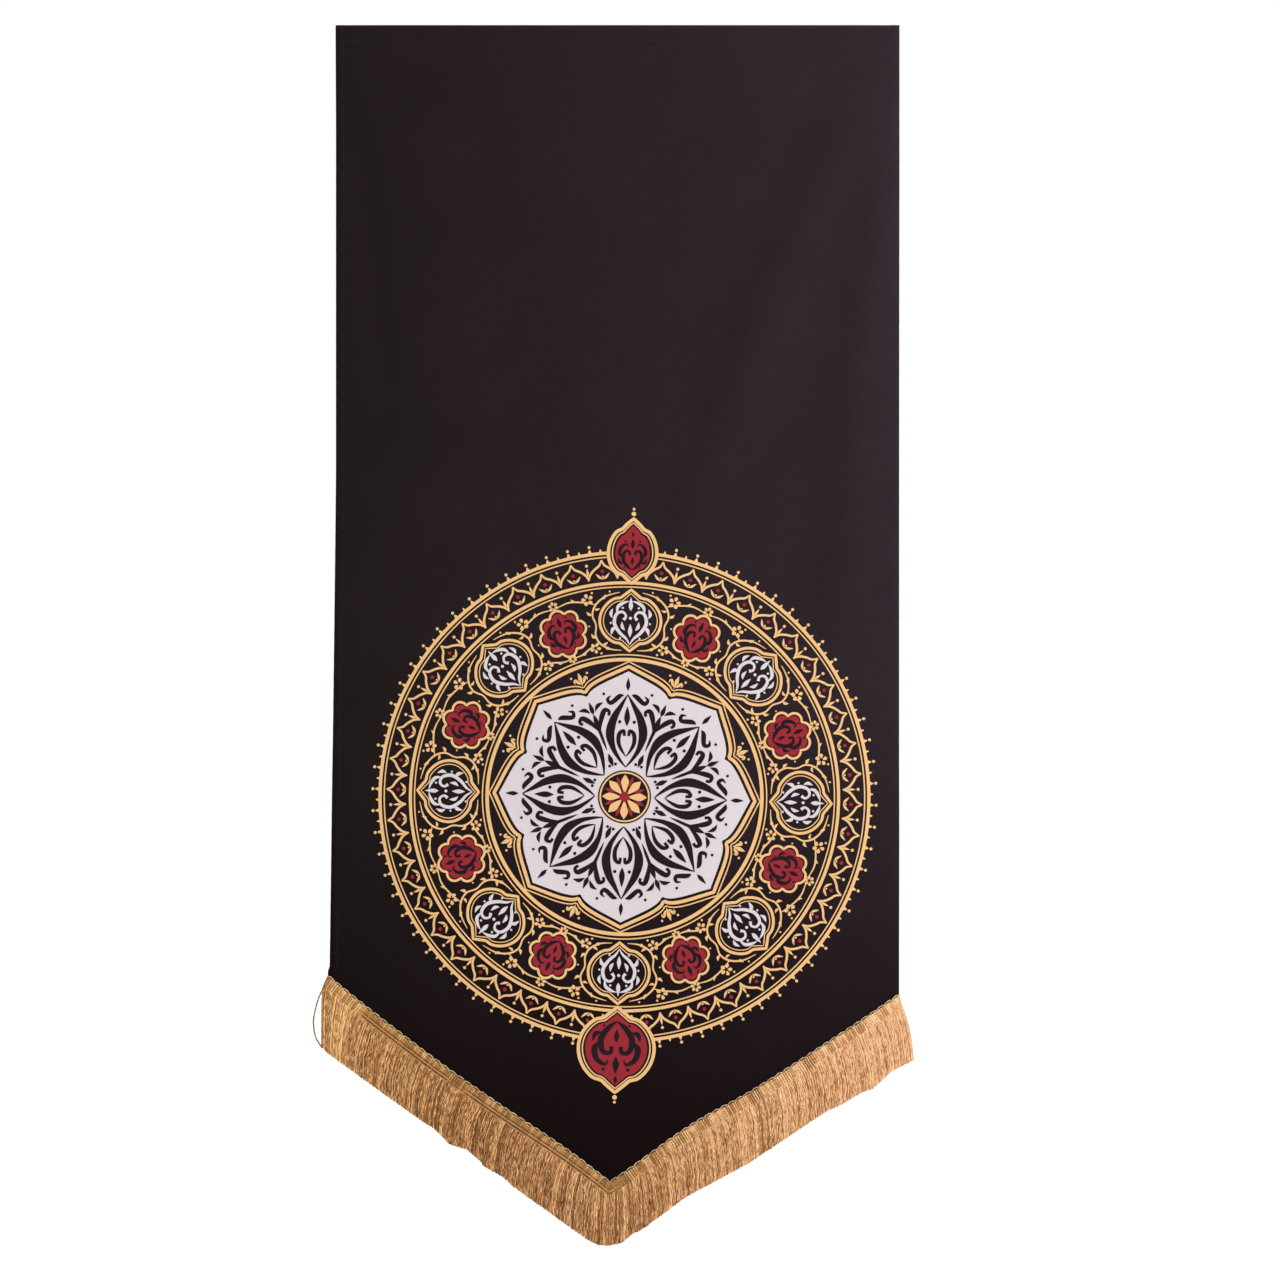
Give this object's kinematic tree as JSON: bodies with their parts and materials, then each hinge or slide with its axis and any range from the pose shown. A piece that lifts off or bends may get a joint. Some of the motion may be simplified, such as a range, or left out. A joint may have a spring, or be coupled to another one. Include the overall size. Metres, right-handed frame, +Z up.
{
  "type": "fringed wall flag",
  "caption": "Black cloth wall flag with a pointed foot, a printed gold, white and red round medallion, and a gold fringe trim sewn along the point.",
  "frame": {"origin": "middle of the top edge, on the cloth's front", "axes": "+Z up, +X to the viewer's right, -Y out of the front towards the viewer, +Y towards the wall"},
  "size_m": [0.7434, 0.0168, 1.5144],
  "materials": {
    "cloth": "matt plain weave polyester, printed on its front",
    "trim": "lustrous gold rayon yarn, woven heading and hanging skirt"
  },
  "bodies": {
    "root": {"cloth_panel": "cloth", "fringe_trim": "trim"}
  },
  "joints": []
}
